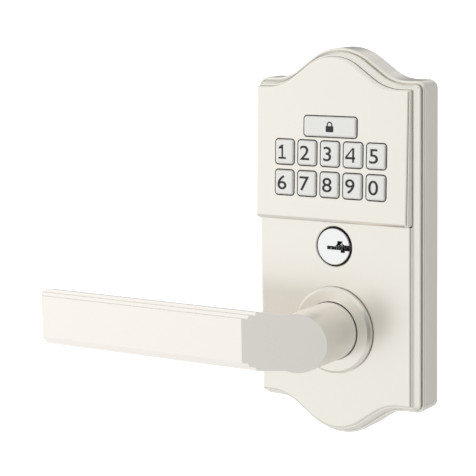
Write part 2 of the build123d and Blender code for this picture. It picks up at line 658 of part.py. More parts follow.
def plug_wafers():
    """Flat tumblers, each with a window that the key's blade passes through."""
    wafers = []
    reach = math.sqrt(PLUG_RADIUS ** 2 - WAFER_HALF_HEIGHT ** 2) - 0.1
    for depth in WAFER_DEPTHS:
        wafer = block((-reach, reach), (CYLINDER_Z - WAFER_HALF_HEIGHT, CYLINDER_Z + WAFER_HALF_HEIGHT),
                      (depth, depth + WAFER_THICKNESS))
        wafer -= block((KEYWAY_START - 0.5, reach - 1.0), (CYLINDER_Z - 1.6, CYLINDER_Z + 1.4),
                       (depth - 1, depth + WAFER_THICKNESS + 1))
        wafers.append(wafer)
    return group(wafers)


def cylinder_cam():
    """Cam on the plug's back end; its arm points to the right while the key is home."""
    front = CYLINDER_BACK - 0.1
    back = front - CAM_THICKNESS
    cam = rod(CAM_HUB_RADIUS, back, front, 0, CYLINDER_Z)
    arm_end = CAM_LENGTH - CAM_TIP_RADIUS
    cam += block((0, arm_end), (CYLINDER_Z - CAM_TIP_RADIUS, CYLINDER_Z + CAM_TIP_RADIUS), (back, front))
    cam += rod(CAM_TIP_RADIUS, back, front, arm_end, CYLINDER_Z)
    return cam - rod(M25[0] + 0.1, back - 1, front + 1, 0, CYLINDER_Z)


def cam_screw():
    seat = CYLINDER_BACK - 0.1 - CAM_THICKNESS
    return pan_screw((M25[0], M25[1], 1.1), seat, CYLINDER_BACK + 1.1, 0, CYLINDER_Z)


# ---- mounting ---------------------------------------------------------------------------------------

def mounting_plate():
    """Steel plate that closes the housing's back and carries the two threaded posts."""
    plate = slab(outline(WALL + 0.25), GASKET_THICKNESS, PLATE_FRONT)
    plate -= rod(DRIVER_RADIUS + 4.0, 0, PLATE_FRONT + 1)
    plate -= block(CABLE_WINDOW[0], CABLE_WINDOW[1], (0, PLATE_FRONT + 1))
    for side in (-1, 1):
        plate -= rod(POST_RADIUS - 1.0, 0, PLATE_FRONT + 1, side * POST_SPACING / 2)
    for x, z in PLATE_FIXINGS:
        plate -= rod(M3[0] + 0.2, 0, PLATE_FRONT + 1, x, z)
    return plate


def plate_screws():
    """Flat-headed screws; their heads lie in the gasket's thickness, behind the plate."""
    screws = []
    head_back = GASKET_THICKNESS - 0.7
    for x, z in PLATE_FIXINGS:
        screw = rod(M3[1] + 0.2, head_back, GASKET_THICKNESS, x, z)
        screw += rod(M3[0], GASKET_THICKNESS, PLATE_FRONT + PLATE_SCREW_LENGTH, x, z)
        slot = slab(Rectangle(3.4, 0.8), head_back - 0.1, head_back + 0.4, x, z)
        screws.append(screw - slot)
    return group(screws)


def foam_gasket():
    """Weather seal between the lock and the door, cut away around the screw heads."""
    seal = slab(outline(0.5) - outline(0.5 + GASKET_WIDTH), 0, GASKET_THICKNESS)
    for x, z in PLATE_FIXINGS:
        seal -= rod(M3[1] + 0.5, -1, GASKET_THICKNESS + 1, x, z)
    return seal


def mounting_post(side):
    """Threaded post that takes a bolt from the inside half."""
    x = side * POST_SPACING / 2
    post = rod(POST_RADIUS, -POST_REACH, GASKET_THICKNESS, x)
    post += rod(POST_RADIUS - 1.0, GASKET_THICKNESS, PLATE_FRONT, x)
    post += rod(POST_RADIUS + 0.8, PLATE_FRONT, PLATE_FRONT + 1.2, x)
    post = chamfer(edges_at(post, -POST_REACH), 0.5)
    return post - rod(POST_BORE, -POST_REACH - 1, PLATE_FRONT + 0.2, x)


# ---- lever ----------------------------------------------------------------------------------------------

def handle_section():
    """Half sections of the handle from its back to its flat front: two steps down each edge."""
    half_face = HANDLE_FACE_HEIGHT / 2
    half_full = SHANK_RADIUS
    mid = (half_face + half_full) / 2
    front = HANDLE_FACE
    back = HANDLE_FACE - HANDLE_THICKNESS
    slant = 0.12
    rim = front - 2 * HANDLE_STEP - 2 * slant
    lean = (rim - back) * math.tan(math.radians(HANDLE_LEAN))
    upper = [
        (half_face, front), (half_face + slant, front - HANDLE_STEP),
        (mid, front - HANDLE_STEP - slant), (mid + slant, front - 2 * HANDLE_STEP - slant),
        (half_full, rim), (half_full - lean, back),
    ]
    lower = [(-z, depth) for z, depth in reversed(upper)]
    return [(-depth, z) for z, depth in upper + lower]


def elbow_cutter():
    """All that lies in front of the slanted facet at the elbow."""
    run = 2 * SHANK_RADIUS - ELBOW_X
    drop = run * math.tan(math.radians(ELBOW_SLOPE))
    profile = Polyline(
        (ELBOW_X, -HANDLE_FACE), (ELBOW_X + run, -HANDLE_FACE + drop),
        (ELBOW_X + run, -HANDLE_FACE - 20), (ELBOW_X, -HANDLE_FACE - 20), close=True)
    return extrude(make_face(profile), amount=3 * SHANK_RADIUS, both=True)


def lever_handle():
    """Round shank, slanted elbow and a straight stepped handle to the left."""
    bar = extrude(make_face(Plane.YZ * Polyline(*handle_section(), close=True)), amount=LEVER_REACH,
                  dir=(-1, 0, 0))
    back = HANDLE_FACE - HANDLE_THICKNESS
    long_back = [edge for edge in edges_at(bar, back) if edge.length > HANDLE_THICKNESS * 3]
    bar = fillet(long_back, BACK_ROUND)
    tip = [edge for edge in edges_at(bar, HANDLE_FACE) if abs((edge @ 0.5).X + LEVER_REACH) < 1e-3]
    bar = fillet(tip, TIP_RADIUS)
    bar &= slab(RectangleRounded(2 * LEVER_REACH, 2 * SHANK_RADIUS, TIP_CORNER), back - 1, HANDLE_FACE + 1)
    lever = rod(SHANK_RADIUS, SHANK_BACK, HANDLE_FACE) + bar
    lever -= elbow_cutter()
    lever -= rod(SLEEVE_RADIUS, SHANK_BACK - 1, SLEEVE_FRONT + 0.1)
    screw_hole = Plane.XY.offset(-SHANK_RADIUS - 1) * Pos(0, -SET_SCREW_DEPTH) * Circle(M3[0])
    return lever - extrude(screw_hole, amount=SHANK_RADIUS - SLEEVE_RADIUS + 3.0, dir=UP)


def lever_sleeve():
    """Steel hub tube that the lever is clamped to; the clutch sits inside its back end."""
    sleeve = rod(SLEEVE_RADIUS, SLEEVE_BACK, SLEEVE_FRONT)
    sleeve -= rod(DRIVER_RADIUS + RUN, SLEEVE_BACK - 1, DRIVER_FRONT + CLEAR)
    sleeve -= rod(DRIVER_RADIUS - 2.0, SLEEVE_BACK, SLEEVE_FRONT + 1)
    half = DOG_WIDTH / 2 + RUN
    sleeve -= block((-half, half), (0, SLEEVE_RADIUS + 1), (DOG_BACK - 0.1, DOG_FRONT + 0.1))
    groove_floor = SLEEVE_RADIUS - CIRCLIP_GROOVE
    sleeve -= tube(SLEEVE_RADIUS + 1, groove_floor, CIRCLIP_DEPTH, CIRCLIP_DEPTH + CIRCLIP_THICKNESS)
    screw_hole = Plane.XY.offset(-SLEEVE_RADIUS - 1) * Pos(0, -SET_SCREW_DEPTH) * Circle(M3[0])
    return sleeve - extrude(screw_hole, amount=3.0, dir=UP)


def lever_set_screw():
    """Grub screw under the shank that clamps the lever to its sleeve."""
    base = Plane.XY.offset(-SHANK_RADIUS + 0.4) * Pos(0, -SET_SCREW_DEPTH)
    length = SHANK_RADIUS - SLEEVE_RADIUS + 1.4
    screw = extrude(base * Circle(M3[0]), amount=length, dir=UP)
    return screw - extrude(base * RegularPolygon(0.9, 6), amount=1.4, dir=UP)


def hub_circlip():
    """Open ring in the sleeve's groove that holds the lever in."""
    front = CIRCLIP_DEPTH + CIRCLIP_THICKNESS
    ring = tube(SLEEVE_RADIUS + 1.9, SLEEVE_RADIUS - CIRCLIP_GROOVE, CIRCLIP_DEPTH, front)
    gap = block((-2.4, 2.4), (-2 * SLEEVE_RADIUS, 0), (CIRCLIP_DEPTH - 1, CIRCLIP_DEPTH + 2))
    ring -= gap
    for side in (-1, 1):
        lug_x, lug_z = side * 4.0, -SLEEVE_RADIUS - 1.6
        ring += rod(1.4, CIRCLIP_DEPTH, front, lug_x, lug_z)
        ring -= rod(0.6, CIRCLIP_DEPTH - 1, CIRCLIP_DEPTH + 2, lug_x, lug_z)
    return ring


def hub_washer():
    """Thrust washer between the circlip and the bushing's flange."""
    return tube(SLEEVE_RADIUS + 3.6, SLEEVE_RADIUS + RUN, WASHER_FRONT - WASHER_THICKNESS, WASHER_FRONT)


def rose_collar():
    """Raised ring that the shank turns in, with a bevelled front edge."""
    collar = rod(COLLAR_RADIUS, FACE_DEPTH, COLLAR_FRONT)
    collar = chamfer(edges_at(collar, COLLAR_FRONT), COLLAR_CHAMFER)
    collar += rod(COLLAR_SPIGOT, BUSH_SEAT, FACE_DEPTH)
    collar -= rod(SHANK_RADIUS + SHANK_GAP, SHANK_BACK - SHANK_GAP, COLLAR_FRONT + 1)
    return collar - rod(BUSH_RADIUS, FACE_BACK - 2, SHANK_BACK)


def hub_bushing():
    """Plain bearing between the collar and the sleeve, with an inner flange."""
    bush = rod(BUSH_RADIUS, BUSH_SEAT, SHANK_BACK - SHANK_GAP - RUN)
    bush += rod(BUSH_RADIUS + BUSH_WALL, BUSH_SEAT - BUSH_FLANGE, BUSH_SEAT)
    return bush - rod(SLEEVE_RADIUS + RUN, BUSH_SEAT - 2, SHANK_BACK + 1)


def lever_return_spring():
    """Torsion spring round the sleeve, with a straight leg at each end."""
    wire, radius, turns, pitch = 0.6, SLEEVE_RADIUS + 1.5, 2.5, 1.5
    back = SLEEVE_BACK + 1.0
    path = Plane.XZ.offset(back) * Helix(pitch=pitch, height=turns * pitch, radius=radius)
    section = Plane(origin=path @ 0, z_dir=path % 0) * Circle(wire)
    spring = sweep(section, path=path)
    for spot in (path @ 0, path @ 1):
        outward = Vector(spot.X, 0, spot.Z).normalized()
        leg = Plane(origin=spot - outward * wire * 0.3, z_dir=outward) * Circle(wire * 0.92)
        spring += extrude(leg, amount=4.5, dir=outward)
    return spring


# ---- clutch and spindle ---------------------------------------------------------------------------------

def clutch_driver():
    """Turns the spindle: square socket at the back, notch for the dog in front."""
    driver = rod(DRIVER_RADIUS, GASKET_THICKNESS, DRIVER_FRONT)
    driver += rod(DRIVER_RADIUS + 2.6, GASKET_THICKNESS, SLEEVE_BACK - 0.3)
    driver = chamfer(edges_at(driver, DRIVER_FRONT), 0.5)
    half = DOG_WIDTH / 2 + 0.1
    driver -= block((-half, half), (DOG_BOTTOM - 0.2, DRIVER_RADIUS + 1), (DOG_BACK - 0.2, DOG_FRONT + 0.2))
    return driver - slab(Rectangle(SPINDLE_SIZE, SPINDLE_SIZE), 0, SOCKET_FRONT)


def latch_spindle():
    """Square bar that reaches through the latch into the door."""
    bar = slab(Rectangle(SPINDLE_SIZE, SPINDLE_SIZE), -SPINDLE_REACH, SOCKET_FRONT)
    return chamfer(edges_at(bar, -SPINDLE_REACH), 0.8)


def clutch_dog():
    """Block that slides in the sleeve's slot and drops into the driver's notch."""
    dog = block((-DOG_WIDTH / 2, DOG_WIDTH / 2), (DOG_BOTTOM, SHOE_Z + 1), (DOG_BACK, DOG_FRONT))
    return dog & rod(SHOE_Z - 0.1, DOG_BACK, DOG_FRONT)


def rack_tooth(z):
    """One rack tooth across the slide's back, with its tip towards the door."""
    pitch_half = PINION_MODULE * math.pi / 4 - 0.07
    lean = math.tan(math.radians(20))
    tip, root = 0.8 * PINION_MODULE, 1.25 * PINION_MODULE
    profile = Polyline(
        (-DOG_BACK + tip, z - pitch_half + tip * lean),
        (-DOG_BACK + tip, z + pitch_half - tip * lean),
        (-DOG_BACK - root, z + pitch_half + root * lean),
        (-DOG_BACK - root, z - pitch_half - root * lean), close=True)
    return extrude(make_face(Plane.YZ * profile), amount=2.2, both=True)


def clutch_slide():
    """Plate that the motor moves: rack on its back, shoe below, finger for the key's cam."""
    root = DOG_BACK + 1.25 * PINION_MODULE
    slide = block((-SLIDE_HALF, SLIDE_HALF), (SHOE_Z, SLIDE_TOP), (root, DOG_FRONT))
    slide += block((-SLIDE_HALF, -2.6), (SHOE_Z, SLIDE_TOP), (DOG_BACK, DOG_FRONT))
    slide += block((2.6, SLIDE_HALF), (SHOE_Z, SLIDE_TOP), (DOG_BACK, DOG_FRONT))
    pitch = math.pi * PINION_MODULE
    for step in range(-3, 1):
        slide += rack_tooth(PINION_Z + step * pitch + pitch / 2)
    # finger that the cam would press, standing towards the door
    slide += block((-SLIDE_HALF, -3.4), (SLIDE_TOP - 1.9, SLIDE_TOP),
                   (CYLINDER_BACK - CAM_THICKNESS - 0.2, DOG_BACK + 0.5))
    # arm that the return spring presses
    arm = (SPRING_X - SPRING_PAD, -SLIDE_HALF + 1)
    return slide + block(arm, (SPRING_HEAD, SLIDE_TOP), (DOG_BACK, DOG_FRONT))


def clutch_guide():
    """Channel that the slide runs in, with a foot for the return spring."""
    outer = SLIDE_HALF + RAIL_WIDTH
    guide = block((-outer, outer), (RAIL_BOTTOM, RAIL_TOP), (DOG_FRONT + 0.15, GUIDE_FRONT))
    for side in (-1, 1):
        rail = sorted((side * (SLIDE_HALF + 0.15), side * outer))
        guide += block(rail, (RAIL_BOTTOM, RAIL_TOP), (DOG_BACK - 0.6, DOG_FRONT + 0.5))
    foot = (SPRING_X - SPRING_PAD, -SLIDE_HALF - 1)
    guide += block(foot, (RAIL_BOTTOM, SPRING_FOOT), (DOG_BACK, GUIDE_FRONT))
    for x, z in GUIDE_FIXINGS:
        reach = sorted((x, math.copysign(outer - 1, x)))
        guide += block(reach, (z - 1.4, z + 1.4), (GUIDE_FRONT - FOOT_THICKNESS, GUIDE_FRONT))
        guide += rod(SMALL_BOSS_RADIUS, GUIDE_FRONT - FOOT_THICKNESS, GUIDE_FRONT, x, z)
        guide -= rod(M2[0] + FREE_HOLE, GUIDE_FRONT - 3, GUIDE_FRONT + 1, x, z)
    return guide


def clutch_spring():
    """Compression spring that lifts the slide when the motor lets go."""
    wire, radius, turns = 0.22, 1.15, 4.5
    foot = SPRING_FOOT + wire
    height = SPRING_HEAD - wire - foot
    path = Pos(SPRING_X, -SPRING_DEPTH, foot) * Helix(pitch=height / turns, height=height, radius=radius)
    section = Plane(origin=path @ 0, z_dir=path % 0) * Circle(wire)
    return sweep(section, path=path)


def motor_pinion():
    """Small gear on the motor's shaft, in mesh with the slide's rack."""
    tip = PINION_PITCH + 0.8 * PINION_MODULE
    root = PINION_PITCH - 1.1 * PINION_MODULE
    half_pitch = math.pi * PINION_MODULE / 4 - 0.12
    gear = Circle(root)
    for tooth in range(PINION_TEETH):
        angle = 360.0 / PINION_TEETH * tooth
        profile = Polyline(
            (root - 0.3, -half_pitch - 0.12), (PINION_PITCH, -half_pitch), (tip, -0.34 * half_pitch),
            (tip, 0.34 * half_pitch), (PINION_PITCH, half_pitch), (root - 0.3, half_pitch + 0.12), close=True)
        gear += Rot(0, 0, angle) * make_face(profile)
    gear -= Circle(MOTOR_SHAFT_RADIUS)
    plane = Plane(origin=(-1.6, -PINION_DEPTH, PINION_Z), x_dir=(0, -1, 0), z_dir=(1, 0, 0))
    return extrude(plane * gear, amount=3.2, dir=RIGHT)


def motor_shaft():
    plane = Plane(origin=(-1.8, -PINION_DEPTH, PINION_Z), x_dir=(0, 1, 0), z_dir=(1, 0, 0))
    return extrude(plane * Circle(MOTOR_SHAFT_RADIUS), amount=MOTOR_START + 1.8 + 3.0, dir=RIGHT)


def clutch_motor():
    """Round motor lying across the lock, with a bearing boss at its shaft end."""
    plane = Plane(origin=(MOTOR_START, -PINION_DEPTH, PINION_Z), x_dir=(0, 1, 0), z_dir=(1, 0, 0))
    motor = extrude(plane * Circle(MOTOR_RADIUS), amount=MOTOR_LENGTH)
    ends = [e for e in motor.edges() if e.geom_type == GeomType.CIRCLE]
    motor = fillet(ends, 0.5)
    motor += extrude(plane * Circle(2.2), amount=-0.8)
    return motor - extrude(plane.offset(-1.8) * Circle(MOTOR_SHAFT_RADIUS + RUN), amount=1.8 + 3.2)


def motor_bracket():
    """Strap over the motor, with two feet on the housing's bosses."""
    x0, x1 = BRACKET_X - STRAP_HALF_WIDTH, BRACKET_X + STRAP_HALF_WIDTH
    grip = MOTOR_RADIUS + 0.02
    plane = Plane(origin=(x0, -PINION_DEPTH, PINION_Z), x_dir=(0, -1, 0), z_dir=(1, 0, 0))
    outer = grip + STRAP_WALL
    strap = extrude(plane * Circle(outer), amount=x1 - x0)
    strap += block((x0, x1), (PINION_Z - outer, PINION_Z + outer), (PINION_DEPTH, GUIDE_FRONT))
    for x, z in BRACKET_FIXINGS:
        reach = sorted((z, PINION_Z))
        strap += block((x - 2.2, x + 2.2), reach, (GUIDE_FRONT - FOOT_THICKNESS, GUIDE_FRONT))
        strap += rod(2.2, GUIDE_FRONT - FOOT_THICKNESS, GUIDE_FRONT, x, z)
    strap -= extrude(plane.offset(-1) * Circle(grip), amount=x1 - x0 + 2)
    strap -= block((x0 - 3, x1 + 3), (PINION_Z - grip, PINION_Z + grip), (PINION_DEPTH, GUIDE_FRONT + 1))
    for x, z in BRACKET_FIXINGS:
        strap -= rod(M2[0] + FREE_HOLE, GUIDE_FRONT - 3, GUIDE_FRONT + 1, x, z)
    return strap


# ---- build ---------------------------------------------------------------------------------------------

NODES = {
    "escutcheon_housing": housing(),
    "keypad_panel": keypad_panel(),
    "panel_screws": group([pan_screw(M25, DECK_BACK, DECK_DEPTH + 2.1, x, z) for x, z in PANEL_FIXINGS]),
    "keypad_membrane": membrane(),
    "circuit_board": circuit_board(),
    "dome_switches": dome_switches(),
    "backlight_leds": backlight_leds(),
    "controller_chip": controller_chip(),
    "buzzer": buzzer(),
    "cable_socket": cable_socket(),
    "board_screws": group([pan_screw(M2, BOARD_BACK, DECK_DEPTH - 0.5, x, z) for x, z in BOARD_FIXINGS]),
    "cylinder_body": cylinder_body(),
    "cylinder_screws": group([
        pan_screw(M3, FACE_BACK - CYLINDER_EAR_THICKNESS, FACE_BACK + 1.5, x, z)
        for x, z in CYLINDER_FIXINGS]),
    "cylinder_seal": cylinder_seal(),
    "cylinder_plug": cylinder_plug(),
    "plug_wafers": plug_wafers(),
    "cylinder_cam": cylinder_cam(),
    "cam_screw": cam_screw(),
    "mounting_plate": mounting_plate(),
    "plate_screws": plate_screws(),
    "foam_gasket": foam_gasket(),
    "mounting_post_left": mounting_post(-1),
    "mounting_post_right": mounting_post(1),
    "rose_collar": rose_collar(),
    "hub_bushing": hub_bushing(),
    "lever_return_spring": lever_return_spring(),
    "lever_handle": lever_handle(),
    "lever_sleeve": lever_sleeve(),
    "lever_set_screw": lever_set_screw(),
    "hub_circlip": hub_circlip(),
    "hub_washer": hub_washer(),
    "clutch_driver": clutch_driver(),
    "latch_spindle": latch_spindle(),
    "clutch_dog": clutch_dog(),
    "clutch_slide": clutch_slide(),
    "clutch_guide": clutch_guide(),
    "guide_screws": group([
        pan_screw(M2, GUIDE_FRONT - FOOT_THICKNESS, FACE_BACK + 1.3, x, z) for x, z in GUIDE_FIXINGS]),
    "clutch_spring": clutch_spring(),
    "clutch_motor": clutch_motor(),
    "motor_pinion": motor_pinion(),
    "motor_shaft": motor_shaft(),
    "motor_bracket": motor_bracket(),
    "motor_screws": group([
        pan_screw(M2, GUIDE_FRONT - FOOT_THICKNESS, FACE_BACK + 1.3, x, z) for x, z in BRACKET_FIXINGS]),
}
for name, place in KEY_PLACES.items():
    NODES[name] = key(*place)

os.makedirs("parts", exist_ok=True)
for name, shape in NODES.items():
    export_step(shape, f"parts/{name}.step")
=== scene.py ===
"""Keypad lever lock: finishes, key caps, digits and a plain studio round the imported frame."""
import logging
import math
from dataclasses import dataclass, field, replace
from enum import Enum

import bmesh
import bpy
from mathutils import Matrix, Vector


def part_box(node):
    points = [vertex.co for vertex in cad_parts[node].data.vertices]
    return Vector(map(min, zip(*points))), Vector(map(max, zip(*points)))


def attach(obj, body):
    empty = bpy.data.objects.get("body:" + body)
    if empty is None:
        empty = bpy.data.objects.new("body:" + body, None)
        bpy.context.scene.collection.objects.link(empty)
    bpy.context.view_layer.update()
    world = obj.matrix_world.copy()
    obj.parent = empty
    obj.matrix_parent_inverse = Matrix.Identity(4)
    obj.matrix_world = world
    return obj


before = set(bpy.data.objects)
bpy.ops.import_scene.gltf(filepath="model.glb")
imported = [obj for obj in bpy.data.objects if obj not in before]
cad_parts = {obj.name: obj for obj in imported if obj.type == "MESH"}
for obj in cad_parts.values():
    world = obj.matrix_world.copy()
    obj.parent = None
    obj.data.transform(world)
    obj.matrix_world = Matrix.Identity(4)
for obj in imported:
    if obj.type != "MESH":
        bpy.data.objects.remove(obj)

log = logging.getLogger("keypad_lock")
MM = 0.001
MICRON = 0.000001
# Ambient occlusion that paints shade into seams: how far it looks, its samples, and the openness counted as
# the deepest seam.
SEAM_REACH = 0.55 * MM
SEAM_SAMPLES = 16
DEEP_SEAM = 0.10
CLOUD_CELLS = 30.0
CLOUD_DETAIL = 3.0
CLOUD_SHARE = 0.6
FINE_DETAIL = 2.0
COAT_ROUGHNESS = 0.08
CORNER_STEPS = 4
ARCH_STEPS = 16
Rgb = tuple[float, float, float]


# ---- shader maths ------------------------------------------------------------------

class Signal:
    """A socket of a shader, with operators that add Math nodes."""

    def __init__(self, tree: "Shader", socket: bpy.types.NodeSocket) -> None:
        """Wrap a socket.

        Args:
            tree: The shader that the socket belongs to.
            socket: The output socket to read.
        """
        self.tree = tree
        self.socket = socket

    def _math(self, operation: str, first: object, second: object) -> "Signal":
        """Add one Math node.

        Args:
            operation: The Math node's operation.
            first: A signal or a number.
            second: A signal or a number.

        Returns:
            The node's result.
        """
        return self.tree.node("ShaderNodeMath", {"operation": operation}, {0: first, 1: second})

    def __add__(self, other: object) -> "Signal":
        """Sum."""
        return self._math("ADD", self, other)

    __radd__ = __add__

    def __sub__(self, other: object) -> "Signal":
        """Difference."""
        return self._math("SUBTRACT", self, other)

    def __rsub__(self, other: object) -> "Signal":
        """Difference from a number."""
        return self._math("SUBTRACT", other, self)

    def __mul__(self, other: object) -> "Signal":
        """Product."""
        return self._math("MULTIPLY", self, other)

    __rmul__ = __mul__


class Graph:
    """A node tree, built through one method."""

    def __init__(self, owner: bpy.types.ID) -> None:
        """Open the node tree of a material or a world.

        Args:
            owner: The material or world.
        """
        owner.use_nodes = True
        self.tree = owner.node_tree

    def node(self, kind: str, settings: dict[str, object], sockets: dict[object, object],
             output: object = 0) -> Signal:
        """Add any node.

        Args:
            kind: The node's type.
            settings: Attributes set before the sockets; "stops" fills a ramp.
            sockets: Values or signals for the inputs, by index or name.
            output: Index or name of the output wanted.

        Returns:
            The chosen output.
        """
        new = self.tree.nodes.new(kind)
        for key, value in settings.items():
            if key == "stops":
                self._fill_ramp(new.color_ramp, value)
            else:
                setattr(new, key, value)
        for key, value in sockets.items():
            if isinstance(value, Signal):
                self.tree.links.new(value.socket, new.inputs[key])
            else:
                new.inputs[key].default_value = value
        return Signal(self, new.outputs[output])

    @staticmethod
    def _fill_ramp(ramp: bpy.types.ColorRamp, stops: list[tuple[float, float]]) -> None:
        """Set a grey ramp's stops.

        Args:
            ramp: The ramp to fill.
            stops: Pairs of place and grey, in order.
        """
        ramp.elements[0].position = stops[0][0]
        ramp.elements[1].position = stops[-1][0]
        for place, _ in stops[1:-1]:
            ramp.elements.new(place)
        for element, (_, grey) in zip(ramp.elements, stops):
            element.color = (grey, grey, grey, 1.0)

    def coloured(self, kind: str, inputs: tuple[object, object, object]) -> Signal:
        """Blend two colours with a Mix node; kind is its blend type."""
        factor, first, second = inputs
        return self.node("ShaderNodeMix", {"data_type": "RGBA", "blend_type": kind},
                         {0: factor, 6: first, 7: second}, 2)

    def between(self, signal: Signal, low: float, high: float) -> Signal:
        """Nought below one level, one above another, smooth in between."""
        return self.node("ShaderNodeMapRange", {"interpolation_type": "SMOOTHSTEP"},
                         {"Value": signal, "From Min": low, "From Max": high}, "Result")


class Shader(Graph):
    """A material with one surface shader."""

    def __init__(self, name: str) -> None:
        """Start a material.

        Args:
            name: The material's name.
        """
        self.material = bpy.data.materials.new(name)
        super().__init__(self.material)
        self.surface = self.tree.nodes["Principled BSDF"]

    def place(self) -> Signal:
        """Coordinates in the object's own metres."""
        return self.node("ShaderNodeTexCoord", {}, {}, "Object")

    def scaled(self, vector: Signal, scale: Rgb) -> Signal:
        """Coordinates stretched by a factor along each axis."""
        return self.node("ShaderNodeVectorMath", {"operation": "MULTIPLY"}, {0: vector, 1: scale})

    def noise(self, scale: Rgb, detail: float) -> Signal:
        """Noise with cells of 1/scale metres along each axis."""
        where = self.scaled(self.place(), scale)
        return self.node("ShaderNodeTexNoise", {}, {"Vector": where, "Scale": 1.0, "Detail": detail}, "Fac")

    def tint(self, amount: Signal, first: Rgb, second: Rgb) -> Signal:
        """Blend between two colours."""
        return self.coloured("MIX", (amount, (*first, 1.0), (*second, 1.0)))

    def openness(self, edge: float) -> Signal:
        """One on open faces, falling to nought deep in a narrow seam.

        Args:
            edge: How open a spot must be to count as a plain face.

        Returns:
            The signal.
        """
        # An ambient occlusion mask: it sets where shade is painted into seams.
        open_share = self.node("ShaderNodeAmbientOcclusion", {"samples": SEAM_SAMPLES},
                               {"Distance": SEAM_REACH}, "AO")
        return self.between(open_share, DEEP_SEAM, edge)

    def feed(self, name: str, signal: Signal) -> None:
        """Link a signal to one of the surface shader's inputs."""
        self.tree.links.new(signal.socket, self.surface.inputs[name])

    def bump(self, height: Signal, depth: float) -> None:
        """Raise the surface by a height signal, depth metres at most."""
        self.feed("Normal", self.node("ShaderNodeBump", {}, {"Distance": depth, "Height": height}, "Normal"))


class Grain(Enum):
    """How a surface's fine texture lies: cells per metre along X, Y and Z."""

    EVEN = (2600.0, 2600.0, 2600.0)
    UPRIGHT = (5200.0, 5200.0, 160.0)
    ALONG_LEVER = (160.0, 5200.0, 5200.0)
    ALONG_DEPTH = (4200.0, 160.0, 4200.0)
    CAST = (900.0, 900.0, 900.0)
    FOAM = (1500.0, 1500.0, 1500.0)


def darker(color: Rgb, factor: float) -> Rgb:
    """A colour times a factor."""
    return tuple(channel * factor for channel in color)


@dataclass(frozen=True)
class Finish:
    """One finish: its colour, how rough it is, its grain and how dark it is in seams.

    spread and mottle say how much the roughness and the colour vary, depth is the grain's height in
    metres, seams is the share of the colour taken away deep in a seam as painted shade, found by ambient
    occlusion, and seam_edge says how open a spot has to be to keep its full colour.
    """

    name: str
    color: Rgb
    metallic: float
    roughness: float
    grain: Grain = Grain.EVEN
    spread: float = 0.04
    mottle: float = 0.04
    depth: float = 4 * MICRON
    coat: float = 0.0
    seams: float = 0.0
    seam_edge: float = 0.62

    def build(self) -> bpy.types.Material:
        """Make the material.

        Returns:
            The finished material.
        """
        shader = Shader(self.name)
        surface = shader.surface
        surface.inputs["Metallic"].default_value = self.metallic
        surface.inputs["Coat Weight"].default_value = self.coat
        surface.inputs["Coat Roughness"].default_value = COAT_ROUGHNESS
        cloud = shader.noise((CLOUD_CELLS, CLOUD_CELLS, CLOUD_CELLS), CLOUD_DETAIL)
        fine = shader.noise(self.grain.value, FINE_DETAIL)
        shade = cloud * CLOUD_SHARE + fine * (1.0 - CLOUD_SHARE)
        base = shader.tint(shade, darker(self.color, 1.0 - self.mottle), self.color)
        # Painted shade: an ambient occlusion mask darkens the colour towards seams and gaps, where shade
        # falls.
        if self.seams:
            painted_seam_shade = (*darker(self.color, 1.0 - self.seams), 1.0)
            base = shader.coloured("MIX", (shader.openness(self.seam_edge), painted_seam_shade, base))
        shader.feed("Base Color", base)
        shader.feed("Roughness", shade * (2 * self.spread) + (self.roughness - self.spread))
        shader.bump(fine, self.depth)
        return shader.material


# seams sets how much shade each finish has painted into its seams and gaps.
SATIN_NICKEL = Finish("satin_nickel", (0.93, 0.905, 0.84), 1.0, 0.30, Grain.UPRIGHT, 0.025, 0.03,
                      0.8 * MICRON, seams=0.45)
PANEL_NICKEL = replace(SATIN_NICKEL, name="panel_nickel", seams=0.97, seam_edge=0.80)
LEVER_NICKEL = Finish("lever_nickel", (0.955, 0.925, 0.875), 1.0, 0.28, Grain.ALONG_LEVER, 0.02, 0.02,
                      0.1 * MICRON, seams=0.85, seam_edge=0.88)
CHROME = Finish("polished_chrome", (0.90, 0.91, 0.92), 1.0, 0.07, spread=0.02, mottle=0.02,
                depth=0.4 * MICRON)
KEY_SILVER = Finish("key_silver", (0.84, 0.84, 0.82), 0.75, 0.36, mottle=0.04, depth=1.2 * MICRON,
                    seams=0.93, seam_edge=0.80)
ZINC = Finish("zinc_steel", (0.66, 0.67, 0.66), 1.0, 0.38, Grain.CAST, spread=0.08, mottle=0.12)
SCREW = Finish("screw_steel", (0.55, 0.56, 0.57), 1.0, 0.32, spread=0.06, mottle=0.10)
SPRING = Finish("spring_steel", (0.40, 0.40, 0.42), 1.0, 0.34, mottle=0.15)
# Near black as painted shade: the cylinder body and the wafers stand for the dim inside behind the plug face
# and in the keyway.
PAINTED_SHADE_ALLOY = Finish("painted_shade_alloy", (0.10, 0.095, 0.085), 1.0, 0.45, mottle=0.2)
PAINTED_SHADE_STEEL = Finish("painted_shade_steel", (0.06, 0.06, 0.062), 0.6, 0.55, mottle=0.2)
BRASS = Finish("machined_brass", (0.80, 0.62, 0.33), 1.0, 0.30, Grain.ALONG_DEPTH, mottle=0.12, seams=0.95)
BLACK_PLASTIC = Finish("black_plastic", (0.035, 0.035, 0.038), 0.0, 0.45, mottle=0.2, depth=10 * MICRON)
NYLON = Finish("white_nylon", (0.80, 0.79, 0.74), 0.0, 0.48, mottle=0.06, depth=10 * MICRON)
CHIP = Finish("chip_black", (0.03, 0.03, 0.032), 0.0, 0.38, mottle=0.2, depth=8 * MICRON)
LED = Finish("led_resin", (0.92, 0.90, 0.74), 0.0, 0.18, coat=0.5)
